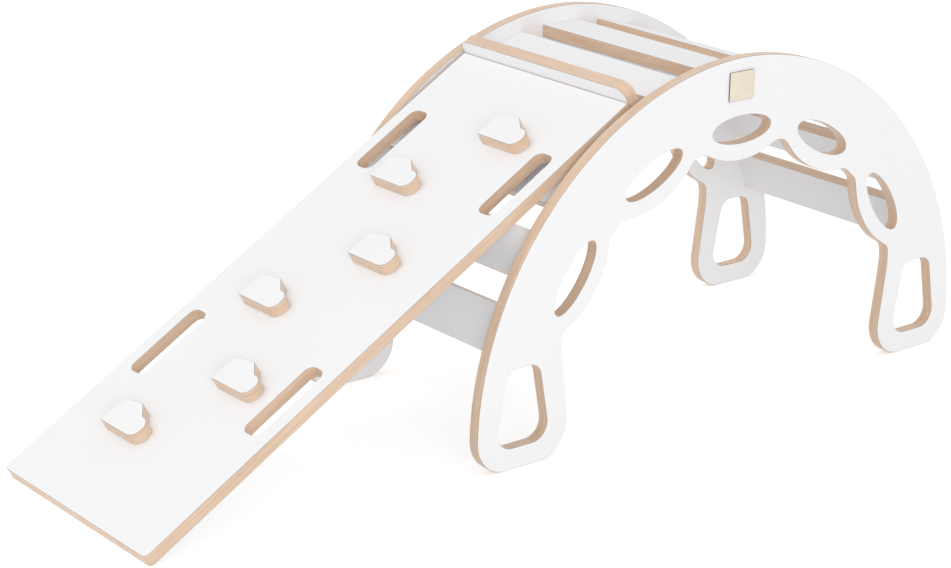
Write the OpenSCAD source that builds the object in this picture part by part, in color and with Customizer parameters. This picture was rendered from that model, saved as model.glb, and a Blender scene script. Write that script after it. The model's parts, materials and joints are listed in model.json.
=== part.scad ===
// Climbing set for small children: an arch of slats between two cut-out side panels,
// and a hold-covered ramp that hooks over one slat and rests its other end on the floor.
// X runs from the foot of the ramp towards the arch, Y across the slats, Z up from the floor.

/* [Arch] */
// Length of the arch along the floor
arch_l = 920; // [760:10:1120]
// Height of the arch above the floor
arch_h = 508; // [460:2:610]
// Width over the outer faces of the two side panels
arch_w = 407; // [335:1:500]
// Thickness of the board that every panel, slat and hold is cut from
board_t = 18; // [15:1:22]
// Fullness of the outer outline, 2 is an ellipse and less is flatter on the shoulders
arch_power = 1.95; // [1.9:0.01:2.05]

/* [Side panels] */
// Depth of the arch's rim between its outer outline and the notches of the inner one
rim_w = 120; // [105:1:130]
// Depth of the ovals' centres below the outer outline
oval_inset = 102; // [95:1:108]
// Length of an oval along the arch
oval_l = 111; // [90:1:120]
// Height of an oval across the arch
oval_h = 39.4; // [30:0.2:45]
// Angle between neighbouring ovals near the crown
oval_step = 26.75; // [24:0.25:28]
// Angle between the ovals above a foot and the next ones
oval_last_step = 29.35; // [27:0.05:30]
// Wall that the inner outline leaves around an oval
oval_wall = 24.8; // [18:0.2:28]
// Softness of the corners where the inner outline meets an oval's wall
notch_blend = 12; // [6:1:20]

/* [Feet] */
// Width of a foot where its corner arcs begin
foot_w = 154.5; // [140:0.5:170]
// Radius of a foot's two lower corners, also the height that the slats fan out from
foot_r = 50; // [40:1:58]
// Lean of a foot's inner edge away from the middle
foot_lean = 7.1; // [0:0.1:10]
// Height of the solid board below a foot's hole
foot_hole_sill = 30.7; // [25:0.1:40]
// Height of a foot's hole
foot_hole_h = 111.6; // [90:0.2:115]
// Width of a foot's hole along its lower edge, measured to the sharp corners
foot_hole_low_w = 95.2; // [80:0.2:98]
// Width of a foot's hole along its upper edge, measured to the sharp corners
foot_hole_top_w = 53.6; // [44:0.2:60]
// Radius of the hole's two lower corners
foot_hole_low_r = 25; // [12:1:28]
// Radius of the hole's two upper corners
foot_hole_top_r = 20; // [10:1:21]

/* [Slats] */
// Width of a slat along the arch
slat_w = 66; // [50:1:72]
// Depth of the slats' outer faces below the outer outline
slat_inset = 24; // [18:1:30]
// Angle between neighbouring slats
slat_step = 14.15; // [13.5:0.05:14.5]

/* [Ramp] */
// Slope of the ramp when its hook hangs on the arch
ramp_slope = 30.5; // [29:0.5:34]
// Gap between the ramp and the side panel on each side of it
ramp_side_gap = 10.5; // [4:0.5:16]
// Radius of the ramp's two lower corners
ramp_corner_r = 8; // [4:1:20]
// Height of the hook board above the ramp's upper face
hook_rise = 22; // [15:1:35]
// Reach of the hook board below the ramp's underside
hook_drop = 42; // [30:1:48]
// Radius of the hook board's two upper corners
hook_corner_r = 16; // [8:1:20]
// Radius of the hook board's two lower corners
hook_low_corner_r = 8; // [4:1:20]
// Gap between the ramp's own faces and the slat that it hangs on
hang_gap = 0.3; // [0.2:0.1:0.6]

/* [Ramp slots] */
// Length of a slot along the ramp
slot_l = 123; // [100:1:135]
// Width of a slot
slot_w = 33; // [25:1:36]
// Radius of a slot's corners
slot_r = 12; // [4:1:12]
// Distance from a slot to the ramp's side edge
slot_edge = 23; // [18:1:30]
// Distance of the lower slots' middle from the ramp's foot
slot_low_s = 269.5; // [200:0.5:290]
// Distance of the upper slots' middle from the ramp's foot
slot_high_s = 702; // [640:1:730]

/* [Holds] */
// Distance of the first hold of the far column from the ramp's foot
hold_first_s = 118; // [100:1:130]
// Distance along the ramp between two holds of one column
hold_step = 251.5; // [230:0.5:255]
// Distance by which the near column is set further up the ramp
hold_stagger = 125; // [110:1:135]
// Distance between the near slots and the near column, across the ramp
hold_near_gap = 23; // [10:1:40]
// Distance between the far slots and the far column, across the ramp
hold_far_gap = 36.5; // [20:0.5:50]
// Length of a hold up the ramp
hold_l = 49; // [44:1:56]
// Width of a hold across the ramp
hold_w = 80; // [70:1:92]

/* [Plate] */
// Length of the blank plate on the front panel
plate_l = 46; // [30:1:56]
// Height of the blank plate
plate_h = 41; // [25:1:44]
// Thickness of the blank plate
plate_t = 2; // [1:0.5:4]
// Depth of the plate's middle below the crown
plate_inset = 39; // [34:1:42]
// Distance of the plate's middle from the crown, less than 0 is on the ramp's side
plate_x = -6; // [-12:1:12]
// Radius of the plate's corners
plate_corner_r = 2; // [1:0.5:6]

/* [Fasteners] */
// Diameter of a slat's dowels
dowel_d = 8; // [6:1:9]
// Length of a dowel
dowel_l = 30; // [24:1:36]
// Depth of a dowel in the side panel
dowel_seat = 12; // [9:0.5:12]
// Distance between the two dowels at a slat's end
dowel_gap = 36; // [24:1:40]
// Diameter of a screw's shank
screw_d = 4; // [3:0.5:5]
// Diameter of a countersunk screw's head
screw_head_d = 8; // [7:0.5:9]
// Length of a screw that holds a climbing hold
hold_screw_l = 30; // [25:1:32]
// Length of a screw that holds the hook board
hook_screw_l = 50; // [40:1:60]

/* [Hidden] */

white = "#f4f3f2";
beech = "#d9b48c";
steel = "#b9bcc0";

bore_gap = 0.1;         // radial room round a dowel or a screw
bore_end_gap = 0.5;     // room past the end of a dowel or a screw
rim_turn = 2;           // degrees between two points of the outer outline
inner_turn = 1;         // degrees between two points of the inner outline
corner_turn = 9;        // degrees between two points of a small arc
past = 1;               // how far a cutting shape reaches past the face it cuts
half_l = arch_l / 2;
half_w = arch_w / 2;
hub_z = foot_r;         // the height that the slats and ovals fan out from
rise = arch_h - hub_z;
slat_span = arch_w - 2 * board_t;
ramp_w = slat_span - 2 * ramp_side_gap;
slat_last = 5;          // slats on each side of the crown
hang_slat = -2;         // the slat that carries the ramp, counted from the crown
oval_angles = [
    -oval_step - oval_last_step, -oval_step, 0, oval_step, oval_step + oval_last_step,
];

// ---- outlines ----

// A point on the ellipse that lies inset from the crown and from the ends, t degrees from the crown
function fan(t, inset) = [(half_l - inset) * sin(t), hub_z + (rise - inset) * cos(t)];

// The lean of that ellipse's outward normal away from straight up
function fan_lean(t, inset) = atan2(sin(t) * (rise - inset), cos(t) * (half_l - inset));

function arc(centre, r, from, to) =
    let (steps = ceil(abs(to - from) / corner_turn))
    [for (i = [0 : steps]) let (at = from + (to - from) * i / steps) centre + r * [cos(at), sin(at)]];

// One corner of an outline, rounded with an arc that touches both of its sides
function round_corner(before, corner, after, r) =
    let (
        u = (before - corner) / norm(before - corner),
        v = (after - corner) / norm(after - corner),
        half = acos(u * v) / 2,
        centre = corner + (u + v) / norm(u + v) * r / sin(half),
        start = corner + u * r / tan(half) - centre,
        finish = corner + v * r / tan(half) - centre,
        from = atan2(start.y, start.x),
        turn = atan2(start.x * finish.y - start.y * finish.x, start * finish)
    )
    arc(centre, r, from, from + turn);

// A closed outline from its sharp corners and the radius of each
function rounded(corners, radii) =
    let (n = len(corners))
    [for (i = [0 : n - 1])
        for (p = round_corner(corners[(i + n - 1) % n], corners[i], corners[(i + 1) % n], radii[i])) p];

function rounded_rectangle(x0, y0, x1, y1, r) =
    rounded([[x0, y0], [x1, y0], [x1, y1], [x0, y1]], [r, r, r, r]);

// Smaller of two distances, with the corner between them blended over the width k
function soft_min(a, b, k) = min(a, b) - pow(max(k - abs(a - b), 0), 2) / (4 * k);

// Distance from the hub to the outline of the wall round an oval, looking up at theta from vertical
function wall_distance(theta, oval_t) =
    let (
        lean = fan_lean(oval_t, oval_inset),
        along = [cos(lean), -sin(lean)],
        out = [sin(lean), cos(lean)],
        half_along = oval_l / 2 + oval_wall,
        half_out = oval_h / 2 + oval_wall,
        to_oval = fan(oval_t, oval_inset) - [0, hub_z],
        ray = [sin(theta), cos(theta)],
        o = [-(to_oval * along) / half_along, -(to_oval * out) / half_out],
        d = [(ray * along) / half_along, (ray * out) / half_out],
        a = d * d,
        b = 2 * (o * d),
        c = o * o - 1,
        inside = b * b - 4 * a * c
    )
    inside < 0 ? half_l : (-b - sqrt(inside)) / (2 * a);

function notch_distance(theta) =
    1 / norm([sin(theta) / (half_l - rim_w), cos(theta) / (rise - rim_w)]);

foot_in_x = half_l - foot_w;
function foot_distance(theta) =
    let (slant = sin(theta) - tan(foot_lean) * cos(theta))
    slant <= 0 ? half_l : min(half_l, foot_in_x / slant);

function inner_distance(theta) =
    let (
        near = soft_min(notch_distance(theta), foot_distance(theta), notch_blend),
        first = soft_min(near, wall_distance(theta, oval_angles[2]), notch_blend),
        second = soft_min(first, wall_distance(theta, oval_angles[3]), notch_blend)
    )
    soft_min(second, wall_distance(theta, oval_angles[4]), notch_blend);

// The outer and inner outline of the half of a side panel that lies past the crown
foot_out_c = [half_l - foot_r, foot_r];
foot_in_c = [foot_in_x + foot_r / cos(foot_lean), foot_r];
foot_in_end = foot_in_c - foot_r * [cos(foot_lean), -sin(foot_lean)] - [0, hub_z];
inner_end = atan2(foot_in_end.x, foot_in_end.y);
outer_half = [
    for (t = [0 : rim_turn : 90 - rim_turn])
        [half_l * pow(sin(t), 2 / arch_power), hub_z + rise * pow(cos(t), 2 / arch_power)]
];
inner_half = [
    for (i = [floor(inner_end / inner_turn) - 1 : -1 : 0])
        [0, hub_z] + inner_distance(i * inner_turn) * [sin(i * inner_turn), cos(i * inner_turn)]
];
half_outline = concat(
    outer_half,
    arc(foot_out_c, foot_r, 0, -90),
    arc(foot_in_c, foot_r, -90, -180 - foot_lean),
    inner_half
);
last = len(half_outline) - 1;
panel_outline = concat(
    half_outline,
    [for (i = [last - 1 : -1 : 1]) [-half_outline[i].x, half_outline[i].y]]
);

foot_hole_x = (foot_in_c.x + foot_out_c.x) / 2;
foot_hole_top = foot_hole_sill + foot_hole_h;
foot_hole = rounded(
    [
        [-foot_hole_low_w / 2, foot_hole_sill], [foot_hole_low_w / 2, foot_hole_sill],
        [foot_hole_top_w / 2, foot_hole_top], [-foot_hole_top_w / 2, foot_hole_top],
    ],
    [foot_hole_low_r, foot_hole_low_r, foot_hole_top_r, foot_hole_top_r]
);
oval_points = 48;
oval = [for (i = [0 : oval_points - 1])
    [oval_l / 2 * cos(i * 360 / oval_points), oval_h / 2 * sin(i * 360 / oval_points)]];

// A hold seen from above: a round nose, a notch for the fingers and a wide lobe.
// Each row is a sharp corner, x up the ramp and y across it, and the radius that rounds it.
hold_corners = [
    [[0, 0], 15],
    [[31.5, 0], 15],
    [[32.5, 19.5], 5],
    [[hold_l, 40], 9],
    [[hold_l - 6, hold_w - 2], 12],
    [[0, hold_w], 3],
];
hold_outline = rounded([for (c = hold_corners) c[0]], [for (c = hold_corners) c[1]]);

// ---- where the ramp hangs ----

function slat_corner(k, side) =
    let (lean = fan_lean(k * slat_step, slat_inset))
    fan(k * slat_step, slat_inset) + side * slat_w / 2 * [cos(lean), -sin(lean)];

up_ramp = [cos(ramp_slope), sin(ramp_slope)];
off_ramp = [-sin(ramp_slope), cos(ramp_slope)];
slat_corners = [for (k = [-slat_last : 0]) for (side = [-1, 1]) slat_corner(k, side)];
under_d = max([for (p = slat_corners) p * off_ramp]) + hang_gap;
// Through the thickness of the slat that carries the ramp, from its outer to its inner face
hang_lean = fan_lean(hang_slat * slat_step, slat_inset);
hang_through = -board_t * [sin(hang_lean), cos(hang_lean)];
hang_edge = [for (deep = [0, 1]) slat_corner(hang_slat, 1) + deep * hang_through];
hook_u = max([for (p = hang_edge) p * up_ramp]) + hang_gap;
// The ramp's foot is where its underside meets the floor
foot_u = -under_d * cos(ramp_slope) / sin(ramp_slope);
ramp_l = hook_u - foot_u;
foot_point = foot_u * up_ramp + under_d * off_ramp;

// The middle of the floor under the whole set is the origin
lowest_x = foot_point.x - board_t * sin(ramp_slope);
arch_x = -(lowest_x + half_l) / 2;
mid_y = plate_t / 2;

// ---- placing ----

module in_arch() {
    translate([arch_x, mid_y, 0]) children();
}

// From a plan drawn in X and Z to a board that starts at the plane y and grows towards -Y
module standing(y) {
    translate([0, y, 0]) rotate([90, 0, 0]) children();
}

// On the ramp: x up the slope from its foot, y from the near edge, z off the underside
module on_ramp() {
    in_arch()
        translate([foot_point.x, -ramp_w / 2, foot_point.y])
        rotate([0, -ramp_slope, 0])
        children();
}

// In one slat: x along the arch, y across it from the middle, z out of the outer face
module in_slat(k) {
    at = fan(k * slat_step, slat_inset);
    in_arch()
        translate([at.x, 0, at.y])
        rotate([0, fan_lean(k * slat_step, slat_inset), 0])
        children();
}

// The dowels or, with a gap, their bores, at one end of a slat
module dowel_pair(side, gap, end_gap) {
    for (x = [-1, 1])
        translate([x * dowel_gap / 2, side * slat_span / 2, -board_t / 2])
        rotate([-90 * side, 0, 0])
        translate([0, 0, dowel_seat - dowel_l - end_gap])
        cylinder(h = dowel_l + 2 * end_gap, r = dowel_d / 2 + gap, $fn = 32);
}

// A countersunk screw that points along +Z, with its head flush in the plane z = 0
module screw(length, gap, end_gap, head_over) {
    head_r = screw_head_d / 2 + gap;
    shank_r = screw_d / 2 + gap;
    above = head_over > 0 ? [[0, -head_over], [head_r, -head_over]] : [[0, 0]];
    below = [[head_r, gap], [shank_r, gap + head_r - shank_r], [shank_r, length + end_gap]];
    rotate_extrude($fn = 32)
        polygon(concat(above, below, [[0, length + end_gap]]));
}

// ---- side panels ----

module panel_blank() {
    difference() {
        linear_extrude(board_t) polygon(panel_outline);
        for (t = oval_angles)
            translate(concat(fan(t, oval_inset), -past))
            rotate([0, 0, -fan_lean(t, oval_inset)])
            linear_extrude(board_t + 2 * past)
            polygon(oval);
        for (side = [-1, 1])
            translate([side * foot_hole_x, 0, -past])
            linear_extrude(board_t + 2 * past)
            polygon(foot_hole);
    }
}

module side_panel(side) {
    difference() {
        in_arch() standing(side > 0 ? half_w : board_t - half_w) panel_blank();
        for (k = [-slat_last : slat_last])
            in_slat(k) dowel_pair(side, bore_gap, bore_end_gap);
    }
}

module front_panel() {
    color(white) side_panel(-1);
}

module back_panel() {
    color(white) side_panel(1);
}

// ---- slats ----

module slat(k) {
    color(white) difference() {
        in_slat(k)
            translate([-slat_w / 2, -slat_span / 2, -board_t])
            cube([slat_w, slat_span, board_t]);
        for (side = [-1, 1])
            in_slat(k) dowel_pair(side, bore_gap, bore_end_gap);
    }
}

module slat_dowels() {
    color(beech)
        for (k = [-slat_last : slat_last])
            for (side = [-1, 1])
                in_slat(k) dowel_pair(side, 0, 0);
}

module blank_plate() {
    color(beech)
        in_arch()
        standing(-half_w)
        translate([plate_x, arch_h - plate_inset, 0])
        linear_extrude(plate_t)
        polygon(rounded_rectangle(-plate_l / 2, -plate_h / 2, plate_l / 2, plate_h / 2, plate_corner_r));
}

// ---- ramp ----

slot_ys = [slot_edge, ramp_w - slot_edge - slot_w];

module each_slot() {
    for (s = [slot_low_s, slot_high_s])
        for (y = slot_ys)
            translate([s - slot_l / 2, y, -past]) children();
}

hold_near_y = slot_edge + slot_w + hold_near_gap;
hold_far_y = ramp_w - slot_edge - slot_w - hold_far_gap - hold_w;
hold_places = [
    for (i = [0 : 2]) [hold_first_s + i * hold_step, hold_far_y],
    for (i = [0 : 2]) [hold_first_s + hold_stagger + i * hold_step, hold_near_y],
];
// The two screws of a hold, measured like its corners
hold_screw_places = [[15, 15], [20, 60]];

module each_hold_screw(gap, end_gap, head_over) {
    for (place = hold_places)
        for (at = hold_screw_places)
            translate([place.x + at.x, place.y + at.y, 0])
            screw(hold_screw_l, gap, end_gap, head_over);
}

hook_screw_count = 4;
module each_hook_screw(gap, end_gap, head_over) {
    for (i = [0 : hook_screw_count - 1])
        translate([ramp_l + board_t, ramp_w * (i + 0.5) / hook_screw_count, board_t / 2])
        rotate([0, -90, 0])
        screw(hook_screw_l, gap, end_gap, head_over);
}

module ramp_board() {
    outline = concat(
        arc([ramp_corner_r, ramp_corner_r], ramp_corner_r, 180, 270),
        [[ramp_l, 0], [ramp_l, ramp_w]],
        arc([ramp_corner_r, ramp_w - ramp_corner_r], ramp_corner_r, 90, 180)
    );
    color(white) on_ramp() difference() {
        linear_extrude(board_t) polygon(outline);
        each_slot()
            linear_extrude(board_t + 2 * past)
            polygon(rounded_rectangle(0, 0, slot_l, slot_w, slot_r));
        each_hold_screw(bore_gap, bore_end_gap, past);
        each_hook_screw(bore_gap, bore_end_gap, past);
    }
}

module hook_board() {
    low = -hook_drop;
    high = board_t + hook_rise;
    outline = rounded(
        [[0, low], [ramp_w, low], [ramp_w, high], [0, high]],
        [hook_low_corner_r, hook_low_corner_r, hook_corner_r, hook_corner_r]
    );
    color(white) on_ramp() difference() {
        translate([ramp_l, 0, 0])
            rotate([90, 0, 90])
            linear_extrude(board_t)
            polygon(outline);
        each_hook_screw(bore_gap, bore_end_gap, past);
    }
}

module hook_screws() {
    color(steel) on_ramp() each_hook_screw(0, 0, 0);
}

module hold(i) {
    color(white) on_ramp() difference() {
        translate([hold_places[i].x, hold_places[i].y, board_t])
            linear_extrude(board_t)
            polygon(hold_outline);
        each_hold_screw(bore_gap, bore_end_gap, past);
    }
}

module hold_screws() {
    color(steel) on_ramp() each_hold_screw(0, 0, 0);
}

front_panel();
back_panel();
slat(-5);  // slat_01
slat(-4);  // slat_02
slat(-3);  // slat_03
slat(-2);  // slat_04
slat(-1);  // slat_05
slat(0);  // slat_06
slat(1);  // slat_07
slat(2);  // slat_08
slat(3);  // slat_09
slat(4);  // slat_10
slat(5);  // slat_11
slat_dowels();
blank_plate();
ramp_board();
hook_board();
hook_screws();
hold(0);  // hold_1
hold(1);  // hold_2
hold(2);  // hold_3
hold(3);  // hold_4
hold(4);  // hold_5
hold(5);  // hold_6
hold_screws();
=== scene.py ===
import json
from math import copysign, cos, pi, radians, sin, sqrt

import bmesh
import bpy
from mathutils import Matrix, Vector


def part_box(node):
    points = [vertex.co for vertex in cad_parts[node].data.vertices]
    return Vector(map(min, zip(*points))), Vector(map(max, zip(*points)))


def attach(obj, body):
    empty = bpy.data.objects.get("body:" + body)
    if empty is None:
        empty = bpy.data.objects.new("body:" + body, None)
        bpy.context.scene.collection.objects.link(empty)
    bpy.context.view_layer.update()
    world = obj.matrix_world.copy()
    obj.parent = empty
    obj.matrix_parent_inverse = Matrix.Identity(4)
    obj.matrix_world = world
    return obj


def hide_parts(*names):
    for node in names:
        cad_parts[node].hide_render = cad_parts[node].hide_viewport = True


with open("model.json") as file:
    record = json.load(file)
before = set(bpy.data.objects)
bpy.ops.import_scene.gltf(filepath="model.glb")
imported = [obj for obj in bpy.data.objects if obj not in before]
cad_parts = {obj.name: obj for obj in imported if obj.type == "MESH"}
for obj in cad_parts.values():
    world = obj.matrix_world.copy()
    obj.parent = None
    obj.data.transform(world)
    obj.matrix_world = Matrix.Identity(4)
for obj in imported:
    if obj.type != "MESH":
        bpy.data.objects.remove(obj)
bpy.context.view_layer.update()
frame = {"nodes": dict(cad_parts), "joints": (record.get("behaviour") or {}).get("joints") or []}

# ---------------------------------------------------------------- the view
# A long lens from in front and to the ramp's side, a little above the crown of the arch,
# so that the near panel shows its outer face and the ramp shows its whole length.

camera_at = Vector((-2.1324, -2.5683, 1.3180))
turn_to_arch = radians(38.93)
look_down = radians(18.92)
camera_roll = radians(0.86)

lens = bpy.data.cameras.new("view")
lens.sensor_width = 36
lens.lens = 94.88
lens.clip_end = 60
camera = bpy.data.objects.new("view", lens)
bpy.context.scene.collection.objects.link(camera)
camera.matrix_world = (
    Matrix.Translation(camera_at)
    @ Matrix.Rotation(-turn_to_arch, 4, "Z")
    @ Matrix.Rotation(pi / 2 - look_down, 4, "X")
    @ Matrix.Rotation(camera_roll, 4, "Z")
)
bpy.context.scene.camera = camera
bpy.context.scene.view_settings.view_transform = "Standard"


# ---------------------------------------------------------------- side panels
# Two arches cut from one 18 mm board: plywood with a white laminate on both faces. The
# router opens the bare plies along the outline, the ovals and the foot holes, and rounds
# every cut edge over, so that the laminate's brown backing shows as a fine line.


class Wire:
    """A value in a material. Arithmetic on it adds Math nodes."""

    def __init__(self, finish, socket):
        self.finish = finish
        self.socket = socket

    def math(self, operation, *others):
        values = dict(enumerate((self, *others)))
        return self.finish.node("ShaderNodeMath", {"operation": operation}, values)[0]

    def __add__(self, other):
        return self.math("ADD", other)

    def __radd__(self, other):
        return self.math("ADD", other)

    def __sub__(self, other):
        return self.math("SUBTRACT", other)

    def __rsub__(self, other):
        return self.math("MULTIPLY_ADD", -1, other)

    def __mul__(self, other):
        return self.math("MULTIPLY", other)

    def __rmul__(self, other):
        return self.math("MULTIPLY", other)

    def __truediv__(self, other):
        return self.math("DIVIDE", other)

    def __abs__(self):
        return self.math("ABSOLUTE")


class Finish:
    """The nodes of a material or of the room, added one by one."""

    def __init__(self, owner):
        owner.use_nodes = True
        self.owner = owner
        self.tree = owner.node_tree
        self.tree.nodes.clear()

    def node(self, kind, settings=None, values=None):
        made = self.tree.nodes.new(kind)
        for name, setting in (settings or {}).items():
            setattr(made, name, setting)
        for name, value in (values or {}).items():
            if isinstance(value, Wire):
                self.tree.links.new(value.socket, made.inputs[name])
            else:
                made.inputs[name].default_value = value
        return [Wire(self, output) for output in made.outputs]

    def place(self, attribute=None):
        """The x, y and z in metres, of the object or as the piece carries them itself."""
        if attribute:
            spot = self.node("ShaderNodeAttribute", {"attribute_name": attribute})[1]
        else:
            spot = self.node("ShaderNodeTexCoord")[3]
        return self.node("ShaderNodeSeparateXYZ", None, {0: spot})[:3]

    def noise(self, x, y, z, detail=3.0, roughness=0.5):
        """Noise from 0 to 1 at a point whose coordinates are already scaled."""
        at = self.node("ShaderNodeCombineXYZ", None, {0: x, 1: y, 2: z})[0]
        values = {"Vector": at, "Scale": 1.0, "Detail": detail, "Roughness": roughness}
        return self.node("ShaderNodeTexNoise", None, values)[0]

    def ease(self, value, low, high):
        """0 below low, 1 above high, and smooth between them."""
        values = {"Value": value, "From Min": low, "From Max": high}
        return self.node("ShaderNodeMapRange", {"interpolation_type": "SMOOTHSTEP"}, values)[0]

    def blend(self, factor, first, second):
        """The first colour where the factor is 0 and the second where it is 1."""
        settings = {"data_type": "RGBA"}
        values = {"Factor": factor, 6: first, 7: second}
        return self.node("ShaderNodeMix", settings, values)[2]

    def bump(self, strength, distance, height):
        values = {"Strength": strength, "Distance": distance, "Height": height}
        return self.node("ShaderNodeBump", None, values)[0]

    def surface(self, values):
        shader = self.node("ShaderNodeBsdfPrincipled", None, values)[0]
        self.node("ShaderNodeOutputMaterial", None, {"Surface": shader})
        return self.owner


mm = 0.001
board_thick = 18 * mm

# In millimetres, because the material works in them: how far below the face the white skin
# and its backing reach, how wide the change from one to the next is, and a ply's thickness
white_skin = 0.25
white_skin_blur = 0.05
dark_skin = 0.62
dark_skin_blur = 0.08
ply_thick = 1.4


def laminated_board():
    finish = Finish(bpy.data.materials.new("laminated_board"))
    x, y, z = finish.place("board_at")
    z_mm = z * 1000
    depth = board_thick / mm / 2 - abs(z_mm)

    # The bare core: plies by turns along and across the grain, with a dark glue line between,
    # warmer patches along the board, and long streaks where the wood is darker
    sway = finish.noise(x * 14, y * 14, z * 20) * 0.35
    ply = (z_mm + sway) / ply_thick
    turn = (ply * 0.5).math("FRACT")
    across = finish.ease(abs(turn - 0.5), 0.22, 0.28)
    glue = finish.ease(abs(ply.math("FRACT") - 0.5), 0.43, 0.5)
    fibre = finish.noise(x * 90, y * 90, z * 2600, detail=4.0, roughness=0.6)
    pores = finish.noise(x * 1500, y * 1500, z * 1500, detail=2.0)
    patch = finish.noise(x * 9, y * 9, z * 60, detail=2.0)
    streak = finish.noise(x * 11, y * 11, z * 230, detail=3.0)
    grain = finish.blend(fibre, (0.68, 0.485, 0.345, 1), (0.84, 0.645, 0.49, 1))
    end_grain = finish.blend(pores, (0.58, 0.40, 0.275, 1), (0.74, 0.545, 0.39, 1))
    core = finish.blend(across * 0.6, grain, end_grain)
    core = finish.blend(glue * 0.35, core, (0.44, 0.29, 0.19, 1))
    core = finish.blend(finish.ease(patch, 0.35, 0.7) * 0.35, core, (0.84, 0.60, 0.44, 1))
    core = finish.blend(finish.ease(streak, 0.38, 0.62) * 0.55, core, (0.62, 0.43, 0.285, 1))

    # The laminate: a white skin with a fine stipple on a thin brown backing, which shows as
    # a line along each cut edge that the router leaves a little uneven
    chatter = finish.noise(x * 400, y * 400, z * 400) * 0.12 - 0.06
    below = depth + chatter
    backing = finish.ease(below, white_skin - white_skin_blur, white_skin + white_skin_blur)
    bare = finish.ease(below, dark_skin - dark_skin_blur, dark_skin + dark_skin_blur)
    cloud = finish.noise(x * 5, y * 5, z * 5, detail=2.0)
    white = finish.blend(cloud, (0.895, 0.893, 0.903, 1), (0.912, 0.909, 0.915, 1))
    skin_colour = finish.blend(backing, white, (0.27, 0.19, 0.14, 1))
    stipple = finish.noise(x * 900, y * 900, z * 900, detail=2.0)

    rough_white = 0.40 + stipple * 0.08
    rough_core = 0.55 + fibre * 0.16
    roughness = rough_white + bare * (rough_core - rough_white)
    height = stipple * 0.25 * (1 - backing) + (fibre * 0.6 + pores * 0.4) * bare
    return finish.surface({
        "Base Color": finish.blend(bare, skin_colour, core),
        "Roughness": roughness,
        "Normal": finish.bump(0.35, 0.12 * mm, height),
        "Coat Weight": bare * 0.8,
        "Coat Roughness": 0.35,
    })


board_finish = laminated_board()
weld = 0.002 * mm  # points this near are one point
slack = 0.05 * mm  # faces this near a plane are in it
faces_out, faces_aside = 0.99, 0.05  # a normal's share along the board's thickness


def merged_copy(node):
    """A copy of a CAD node's mesh as one skin of flat faces."""
    skin = bmesh.new()
    skin.from_mesh(frame["nodes"][node].data)
    bmesh.ops.remove_doubles(skin, verts=skin.verts, dist=weld)
    bmesh.ops.dissolve_limit(
        skin, angle_limit=radians(0.2), verts=skin.verts, edges=skin.edges
    )
    return skin


def board_axes(skin, along):
    """The board's middle and its directions along, across and through, from its widest face."""
    through = max(skin.faces, key=lambda face: face.calc_area()).normal.copy()
    reach = [vert.co @ through for vert in skin.verts]
    across = through.cross(along).normalized()
    middle = (max(reach) + min(reach)) / 2
    return across.cross(through), across, through, middle


def round_over(skin, edges, radius, segments):
    """Bevels the edges to a round of that radius."""
    bmesh.ops.bevel(
        skin, geom=edges, offset=radius, offset_type="OFFSET", affect="EDGES",
        segments=segments, profile=0.5, material=-1, clamp_overlap=False,
    )


def round_edges(skin, through, middle, radius, square=lambda edge: False):
    """Rounds the edges between the board's two broad faces and its full-height walls."""

    def on_broad_face(face):
        off = abs(face.calc_center_median() @ through - middle)
        return abs(face.normal @ through) > faces_out and abs(off - board_thick / 2) < slack

    def is_wall(face):
        reach = [vert.co @ through for vert in face.verts]
        full_height = max(reach) - min(reach) > 0.9 * board_thick
        return full_height and abs(face.normal @ through) < faces_aside

    cut = []
    for edge in skin.edges:
        if len(edge.link_faces) != 2 or square(edge):
            continue
        first, second = edge.link_faces
        if on_broad_face(first) and is_wall(second) or on_broad_face(second) and is_wall(first):
            cut.append(edge)
    round_over(skin, cut, radius, 4)


def set_down(name, skin, finish, sharp_over=None):
    """The skin as an object with its finish, smooth but for edges sharper than an angle."""
    if sharp_over:
        for face in skin.faces:
            face.smooth = True
    mesh = bpy.data.meshes.new(name)
    skin.to_mesh(mesh)
    skin.free()
    if sharp_over:
        mesh.set_sharp_from_angle(angle=sharp_over)
    mesh.materials.append(finish)
    piece = bpy.data.objects.new(name, mesh)
    bpy.context.scene.collection.objects.link(piece)
    return piece


def carry(piece, attribute, place_of):
    """Stores at each point the place that the finish reads there."""
    own = piece.data.attributes.new(attribute, "FLOAT_VECTOR", "POINT")
    for vert, value in zip(piece.data.vertices, own.data):
        value.vector = place_of(vert.co)


def board_piece(node, body, skin, axes):
    """The finished board, with its own coordinates along, across and through it."""
    along, across, through, middle = axes
    piece = set_down(node + "_board", skin, board_finish, radians(40))
    carry(piece, "board_at", lambda at: (at @ along, at @ across, at @ through - middle))
    weigh = piece.modifiers.new("weighted_normal", "WEIGHTED_NORMAL")
    weigh.keep_sharp = True
    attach(piece, body)
    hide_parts(node)


panel_radius = 1.3 * mm
for panel in ("front_panel", "back_panel"):
    skin = merged_copy(panel)
    axes = board_axes(skin, Vector((1, 0, 0)))
    round_edges(skin, axes[2], axes[3], panel_radius)
    board_piece(panel, "arch", skin, axes)


# ---------------------------------------------------------------- slats
# Eleven boards of the same laminate between the panels. Their long edges are rounded for
# the hands and feet. Their ends stand tight against the panels, with just the arris off.

slat_radius = 1.3 * mm
slat_arris = 0.4 * mm
slat_low, slat_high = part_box("slat_01")
slat_mid_y = (slat_low.y + slat_high.y) / 2
slat_reach = slat_high.y - slat_mid_y - slack
bore_reach = 6 * mm  # the dowels' bores in the slats' ends stay within this of the middle


def at_slat_end(edge):
    return all(abs(vert.co.y - slat_mid_y) > slat_reach for vert in edge.verts)


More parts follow.
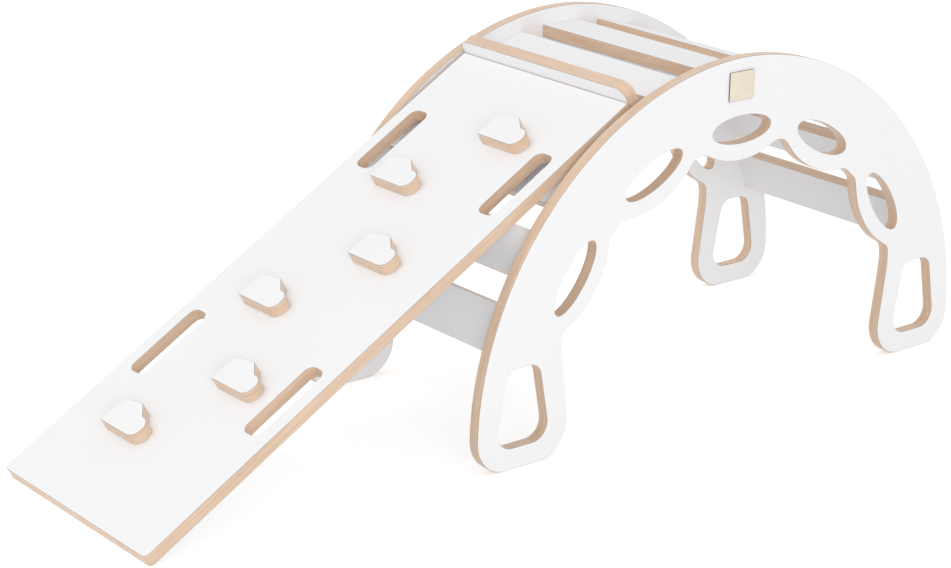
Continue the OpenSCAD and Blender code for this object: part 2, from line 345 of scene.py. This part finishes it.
for number in range(1, 12):
    slat = f"slat_{number:02d}"
    skin = merged_copy(slat)
    axes = board_axes(skin, Vector((0, 1, 0)))
    along, across, through, middle = axes
    round_edges(skin, through, middle, slat_radius, square=at_slat_end)
    wide = [vert.co @ across for vert in skin.verts]
    half_wide, mid_wide = (max(wide) - min(wide)) / 2, (max(wide) + min(wide)) / 2

    def past_the_bores(vert):
        off = abs(vert.co @ through - middle)
        return off > bore_reach or abs(vert.co @ across - mid_wide) > half_wide - slack

    ends = [edge for edge in skin.edges if at_slat_end(edge)]
    rim = [edge for edge in ends if all(map(past_the_bores, edge.verts))]
    round_over(skin, rim, slat_arris, 2)
    board_piece(slat, "arch", skin, axes)


# ---------------------------------------------------------------- slat dowels
# Beech dowels, two at each end of a slat, glued in and out of sight. They are turned
# across fine straight grain, a little darker where the end grain takes up the glue.


def turned_beech():
    finish = Finish(bpy.data.materials.new("turned_beech"))
    x, y, z = finish.place()
    fibre = finish.noise(x * 1800, y * 60, z * 1800, detail=4.0)
    fleck = finish.noise(x * 700, y * 250, z * 700, detail=2.0)
    colour = finish.blend(fibre, (0.55, 0.36, 0.22, 1), (0.74, 0.53, 0.35, 1))
    colour = finish.blend(finish.ease(fleck, 0.58, 0.66) * 0.4, colour, (0.45, 0.27, 0.15, 1))
    bump = finish.bump(0.3, 0.1 * mm, fibre)
    return finish.surface(
        {"Base Color": colour, "Roughness": 0.55 + fibre * 0.2, "Normal": bump}
    )


beech_finish = turned_beech()
for place in frame["nodes"]["slat_dowels"].material_slots:
    place.material = beech_finish


# ---------------------------------------------------------------- blank plate
# A small plate of thin birch plywood, glued to the near panel under the crown. It is cut
# with a laser, which burns its edges dark brown and leaves a faint scorch along them.

plate_low, plate_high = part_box("blank_plate")
plate_mid = (plate_low + plate_high) / 2
plate_half = (plate_high - plate_low) / 2
plate_arris = 0.2 * mm
scorch_reach = 1.2 * mm


def lasered_birch():
    finish = Finish(bpy.data.materials.new("lasered_birch"))
    x, y, z = finish.place("plate_at")
    ring = finish.noise(x * 35, y * 420, z * 100, detail=3.0)
    fibre = finish.noise(x * 120, y * 3000, z * 3000, detail=4.0, roughness=0.65)
    colour = finish.blend(fibre, (0.79, 0.68, 0.555, 1), (0.905, 0.815, 0.705, 1))
    colour = finish.blend(finish.ease(ring, 0.45, 0.65) * 0.35, colour, (0.765, 0.635, 0.49, 1))
    past_side = (abs(x) - (plate_half.x - scorch_reach)).math(
        "MAXIMUM", abs(y) - (plate_half.z - scorch_reach)
    )
    scorch = finish.ease(past_side * 1000 + ring * 0.4, 0.3, 1.4) * 0.45
    front_mm = -plate_half.y / mm
    behind = finish.ease(z * -1000, front_mm + 0.12, front_mm + 0.3)
    colour = finish.blend(scorch, colour, (0.36, 0.21, 0.11, 1))
    colour = finish.blend(behind, colour, (0.075, 0.045, 0.03, 1))
    bump = finish.bump(0.4, 0.1 * mm, fibre)
    return finish.surface(
        {"Base Color": colour, "Roughness": 0.5 + fibre * 0.2, "Normal": bump}
    )


skin = merged_copy("blank_plate")
front = plate_low.y + 0.01 * mm
rim = [edge for edge in skin.edges if all(vert.co.y < front for vert in edge.verts)]
round_over(skin, rim, plate_arris, 2)
plate = set_down("birch_plate", skin, lasered_birch())


def on_plate(at):
    """Across the plate, up it, and out of its face."""
    off = at - plate_mid
    return off.x, off.z, -off.y


carry(plate, "plate_at", on_plate)
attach(plate, "arch")
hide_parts("blank_plate")


# ---------------------------------------------------------------- ramp board
# One wide board of the same laminate with four long slots for the hands. Every edge is
# rounded over, the upper end's too, which leaves a fine dark groove along the hook board.

ramp_off = Vector(frame["joints"][0]["axis"]).normalized()
ramp_up = Vector((0, 1, 0)).cross(ramp_off)
ramp_radius = 1.3 * mm
ramp_end_radius = 2.2 * mm
ramp_end_cuts = 4

skin = merged_copy("ramp_board")
axes = board_axes(skin, ramp_up)
ramp_end = max(vert.co @ ramp_up for vert in skin.verts)


def at_ramp_end(edge):
    return all(vert.co @ ramp_up > ramp_end - slack for vert in edge.verts)


round_edges(skin, axes[2], axes[3], ramp_radius, square=at_ramp_end)

# The upper end is cut into strips, whose points then sink to a quarter circle
for cut in range(ramp_end_cuts):
    back = ramp_end_radius * (1 - sin(pi / 2 * cut / ramp_end_cuts))
    bmesh.ops.bisect_plane(
        skin, geom=[*skin.verts, *skin.edges, *skin.faces], dist=0.001 * mm,
        plane_co=ramp_up * (ramp_end - back), plane_no=ramp_up,
    )
by_the_faces = board_thick / 2 - 1.1 * ramp_radius
for vert in skin.verts:
    into = vert.co @ ramp_up - ramp_end + ramp_end_radius
    off = vert.co @ axes[2] - axes[3]
    if into > 0 and abs(off) > by_the_faces:
        into = min(into, ramp_end_radius)
        drop = ramp_end_radius - sqrt(ramp_end_radius ** 2 - into ** 2)
        vert.co -= axes[2] * copysign(drop, off)
board_piece("ramp_board", "ramp", skin, axes)


# ---------------------------------------------------------------- hook board
# A narrow board across the ramp's upper end, fixed square to it with screws. It stands a
# little above the ramp's face, where its corners are rounded, and hooks behind a slat.

hook_radius = 1.3 * mm
skin = merged_copy("hook_board")
axes = board_axes(skin, Vector((0, 1, 0)))
round_edges(skin, axes[2], axes[3], hook_radius)
board_piece("hook_board", "ramp", skin, axes)


# ---------------------------------------------------------------- climbing holds
# Six offcuts of the same board in one shape, screwed flat to the ramp from below. Their
# upper rims are rounded, and their lower rims stay square, to stand tight on the ramp.

hold_radius = 1.5 * mm
ramp_face = max(vert.co @ ramp_off for vert in frame["nodes"]["ramp_board"].data.vertices)
hold_foot = ramp_face + 1 * mm


def on_the_ramp(edge):
    return all(vert.co @ ramp_off < hold_foot for vert in edge.verts)


for number in range(1, 7):
    hold = f"hold_{number}"
    skin = merged_copy(hold)
    axes = board_axes(skin, ramp_up)
    round_edges(skin, axes[2], axes[3], hold_radius, square=on_the_ramp)
    board_piece(hold, "ramp", skin, axes)


# ---------------------------------------------------------------- screws
# Zinc-plated countersunk screws with a six-lobed recess: two up through the ramp into each
# hold, and four through the hook board into the ramp's end. Only their heads ever show.


def zinc_plate():
    finish = Finish(bpy.data.materials.new("zinc_plate"))
    x, y, z = finish.place()
    cloud = finish.noise(x * 600, y * 600, z * 600, detail=3.0)
    scratch = finish.noise(x * 4000, y * 900, z * 4000, detail=2.0)
    colour = finish.blend(cloud, (0.56, 0.58, 0.60, 1), (0.70, 0.71, 0.72, 1))
    return finish.surface({
        "Base Color": colour,
        "Metallic": 1.0,
        "Roughness": 0.28 + cloud * 0.2,
        "Normal": finish.bump(0.2, 0.05 * mm, scratch),
    })


screw_finish = zinc_plate()
screw_sides = 36

# In millimetres. Each ring of the head is its depth below the head's face, its radius and
# its lobes' share of that, from the bottom of the recess over the rim to the shank
shank_radius, tip_radius, tip_length = 2.0, 0.6, 5
head_rings = (
    (1.6, 1.1, 0.14), (1.5, 1.5, 0.14), (0.15, 1.62, 0.14), (0.0, 1.75, 0.12),
    (0.0, 3.7, 0), (0.12, 3.95, 0), (0.35, 3.75, 0), (2.1, shank_radius, 0),
)


def screw_body(skin, length, place):
    """Adds one screw, lofted ring by ring from the bottom of its recess to its tip."""
    shank = ((length - tip_length, shank_radius, 0), (length, tip_radius, 0))
    loop = bmesh.ops.create_circle(skin, cap_ends=True, segments=screw_sides, radius=mm)["verts"]
    edges = list(dict.fromkeys(edge for vert in loop for edge in vert.link_edges))
    made = [*loop]
    for index, (depth, radius, lobe) in enumerate((*head_rings, *shank)):
        if index:
            grown = bmesh.ops.extrude_edge_only(skin, edges=edges)["geom"]
            loop = [part for part in grown if isinstance(part, bmesh.types.BMVert)]
            edges = [part for part in grown if isinstance(part, bmesh.types.BMEdge)]
            made += loop
        for vert in loop:
            way = Vector((vert.co.x, vert.co.y, 0)).normalized()
            turn = Vector((1, 0)).angle_signed(way.to_2d())
            swell = 1 + lobe * cos(6 * turn)
            vert.co = way * radius * swell * mm + Vector((0, 0, depth * mm))
    bmesh.ops.contextual_create(skin, geom=edges)
    bmesh.ops.transform(skin, matrix=place, verts=made)


def screw_places(node, direction):
    """Where each screw of a CAD node has the middle of its head, and the screw's length."""
    source = bmesh.new()
    source.from_mesh(frame["nodes"][node].data)
    bmesh.ops.remove_doubles(source, verts=source.verts, dist=weld)
    seen = set()
    places = []
    for first in source.verts:
        if first in seen:
            continue
        seen.add(first)
        part = [first]
        for vert in part:  # the part grows while it is walked
            for edge in vert.link_edges:
                near = edge.other_vert(vert)
                if near not in seen:
                    seen.add(near)
                    part.append(near)
        low = min(vert.co @ direction for vert in part)
        high = max(vert.co @ direction for vert in part)
        head = [vert.co for vert in part if vert.co @ direction < low + slack]
        places.append((sum(head, Vector()) / len(head), (high - low) / mm))
    source.free()
    return places


for screws, direction in (("hold_screws", ramp_off), ("hook_screws", -ramp_up)):
    skin = bmesh.new()
    for at, length in screw_places(screws, direction):
        turn = Vector((0, 0, 1)).rotation_difference(direction).to_matrix().to_4x4()
        screw_body(skin, length, Matrix.Translation(at) @ turn)
    bmesh.ops.recalc_face_normals(skin, faces=skin.faces)
    piece = set_down(screws + "_zinc", skin, screw_finish, radians(35))
    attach(piece, "ramp")
    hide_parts(screws)


# ---------------------------------------------------------------- studio
# A white floor without an edge in a bright, even room. A broad low lamp, far off on the left
# of the camera, lights the near panel evenly and reaches under the ramp. A high one over the
# ramp's foot gives the holds soft shadows.

white_light = (1, 1, 1, 1)


def seen_directly(finish):
    """1 for what the camera, a gloss or a glass sees, and 0 for light that falls on things."""
    # A light path's outputs 0, 3 and 6 are Is Camera Ray, Is Glossy Ray and Is Transmission Ray
    path = finish.node("ShaderNodeLightPath")
    return path[0].math("MAXIMUM", path[3]).math("MAXIMUM", path[6])


floor_glow = 0.44
finish = Finish(bpy.data.materials.new("studio_floor"))
x, y, z = finish.place("floor_at")
paint = finish.noise(x * 3, y * 3, 0.0)
floor_finish = finish.surface({
    "Base Color": finish.blend(paint, (0.89, 0.89, 0.89, 1), (0.90, 0.90, 0.90, 1)),
    "Roughness": 0.85,
    "Specular IOR Level": 0.1,
    "Emission Color": finish.blend(seen_directly(finish), (0, 0, 0, 1), white_light),
    "Emission Strength": floor_glow,
})
skin = bmesh.new()
bmesh.ops.create_grid(skin, x_segments=8, y_segments=8, size=15)
floor = set_down("studio_floor", skin, floor_finish)
carry(floor, "floor_at", lambda at: at)

room_light = 0.72
room = Finish(bpy.data.worlds.new("studio"))
bpy.context.scene.world = room.owner
shown = seen_directly(room) * (1 - room_light) + room_light
surround = room.node("ShaderNodeBackground", None, {"Color": white_light, "Strength": shown})[0]
room.node("ShaderNodeOutputWorld", None, {"Surface": surround})


middle_of_set = Vector((0, 0, 0.2))


def soft_lamp(name, at, size, watts):
    """A round lamp of that size in metres, aimed at the middle of the set."""
    light = bpy.data.lights.new(name, "AREA")
    light.shape = "DISK"
    light.size = size
    light.energy = watts
    lamp = bpy.data.objects.new(name, light)
    bpy.context.scene.collection.objects.link(lamp)
    turn = (middle_of_set - Vector(at)).to_track_quat("-Z", "Y").to_matrix().to_4x4()
    lamp.matrix_world = Matrix.Translation(at) @ turn


soft_lamp("left_of_camera", (-4.0, -8.4, 2.4), 6.0, 284)
soft_lamp("above_ramp", (-2.9, 1.05, 3.9), 3.0, 40)
